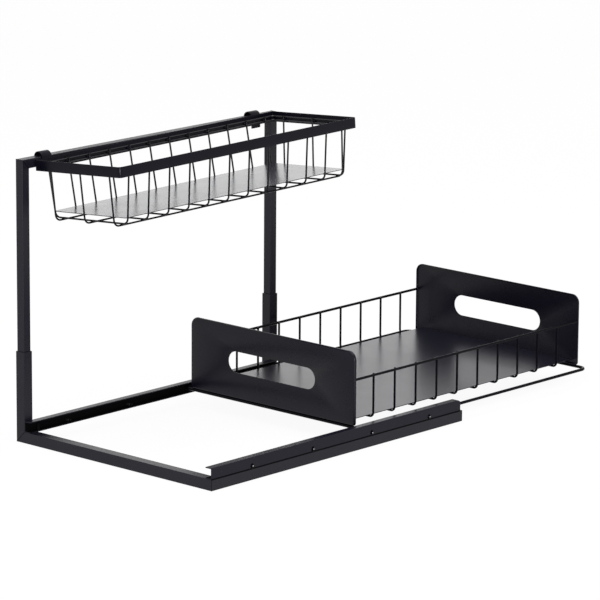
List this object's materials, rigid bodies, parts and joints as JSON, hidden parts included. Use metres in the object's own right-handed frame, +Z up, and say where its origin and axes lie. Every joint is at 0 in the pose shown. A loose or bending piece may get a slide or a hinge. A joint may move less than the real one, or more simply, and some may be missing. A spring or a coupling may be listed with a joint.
{
  "type": "pull out cabinet basket",
  "caption": "Two-tier cabinet organiser: a square-tube base with a roller-guided pull-out wire drawer and a wire basket hooked on a raised side bar.",
  "frame": {"origin": "centre of the rear cross tube's underside, on the floor; the drawer is drawn fully pulled out", "axes": "+X to the user's right, the side with the posts; +Y to the back, away from the pull; +Z up"},
  "size_m": [0.2993, 0.6397, 0.3294],
  "materials": {
    "tube_coat": "satin black powder coat",
    "rail_coat": "satin black powder coat",
    "panel_coat": "semi-gloss black powder coat",
    "floor_coat": "semi-gloss black powder coat",
    "rim_coat": "semi-gloss black powder coat",
    "wire_coat": "semi-gloss black powder coat",
    "pin_coat": "satin black plated",
    "roller_nylon": "black nylon"
  },
  "bodies": {
    "frame": {"rear_cross_tube": "tube_coat", "left_base_tube": "tube_coat", "rear_post_socket": "tube_coat", "front_post_socket": "tube_coat", "left_tube_plug": "roller_nylon", "front_socket_plug": "roller_nylon", "rear_post": "tube_coat", "front_post": "tube_coat", "top_bar": "tube_coat", "left_rail": "rail_coat", "right_rail": "rail_coat", "left_roller_pins": "pin_coat", "right_roller_pins": "pin_coat"},
    "left_roller_1": {"left_roller_1": "roller_nylon"},
    "left_roller_2": {"left_roller_2": "roller_nylon"},
    "left_roller_3": {"left_roller_3": "roller_nylon"},
    "left_roller_4": {"left_roller_4": "roller_nylon"},
    "right_roller_1": {"right_roller_1": "roller_nylon"},
    "right_roller_2": {"right_roller_2": "roller_nylon"},
    "right_roller_3": {"right_roller_3": "roller_nylon"},
    "right_roller_4": {"right_roller_4": "roller_nylon"},
    "drawer": {"slider_loop": "wire_coat", "drawer_front_panel": "panel_coat", "drawer_rear_panel": "panel_coat", "drawer_left_top_wire": "wire_coat", "drawer_right_top_wire": "wire_coat", "drawer_cross_wires": "wire_coat", "drawer_floor": "floor_coat"},
    "upper_basket": {"basket_rim": "rim_coat", "basket_ring_wires": "wire_coat", "basket_cross_wires": "wire_coat", "basket_long_wires": "wire_coat", "basket_floor": "floor_coat", "rear_hook": "rim_coat", "front_hook": "rim_coat"}
  },
  "joints": [
    {"name": "drawer_slide", "type": "slide", "parent": "frame", "child": "drawer", "axis": [0, -1, 0], "range_m": [-0.232, 0]},
    {"name": "basket_lift_off", "type": "slide", "parent": "frame", "child": "upper_basket", "axis": [0, 0, 1], "range_m": [0, 0.03]},
    {"name": "left_roller_1_spin", "type": "hinge", "parent": "frame", "child": "left_roller_1", "pos_m": [-0.145, -0.34605, 0.01585], "axis": [1, 0, 0], "continuous": true},
    {"name": "left_roller_2_spin", "type": "hinge", "parent": "frame", "child": "left_roller_2", "pos_m": [-0.145, -0.24962, 0.01585], "axis": [1, 0, 0], "continuous": true},
    {"name": "left_roller_3_spin", "type": "hinge", "parent": "frame", "child": "left_roller_3", "pos_m": [-0.145, -0.15318, 0.01585], "axis": [1, 0, 0], "continuous": true},
    {"name": "left_roller_4_spin", "type": "hinge", "parent": "frame", "child": "left_roller_4", "pos_m": [-0.145, -0.05675, 0.01585], "axis": [1, 0, 0], "continuous": true},
    {"name": "right_roller_1_spin", "type": "hinge", "parent": "frame", "child": "right_roller_1", "pos_m": [0.1323, -0.34605, 0.01585], "axis": [1, 0, 0], "continuous": true},
    {"name": "right_roller_2_spin", "type": "hinge", "parent": "frame", "child": "right_roller_2", "pos_m": [0.1323, -0.24962, 0.01585], "axis": [1, 0, 0], "continuous": true},
    {"name": "right_roller_3_spin", "type": "hinge", "parent": "frame", "child": "right_roller_3", "pos_m": [0.1323, -0.15318, 0.01585], "axis": [1, 0, 0], "continuous": true},
    {"name": "right_roller_4_spin", "type": "hinge", "parent": "frame", "child": "right_roller_4", "pos_m": [0.1323, -0.05675, 0.01585], "axis": [1, 0, 0], "continuous": true}
  ],
  "couplings": [
    {"joint": "left_roller_1_spin", "follows": "drawer_slide", "rad_per_m": 526.32},
    {"joint": "left_roller_2_spin", "follows": "drawer_slide", "rad_per_m": 526.32},
    {"joint": "left_roller_3_spin", "follows": "drawer_slide", "rad_per_m": 526.32},
    {"joint": "left_roller_4_spin", "follows": "drawer_slide", "rad_per_m": 526.32},
    {"joint": "right_roller_1_spin", "follows": "drawer_slide", "rad_per_m": 526.32},
    {"joint": "right_roller_2_spin", "follows": "drawer_slide", "rad_per_m": 526.32},
    {"joint": "right_roller_3_spin", "follows": "drawer_slide", "rad_per_m": 526.32},
    {"joint": "right_roller_4_spin", "follows": "drawer_slide", "rad_per_m": 526.32}
  ]
}
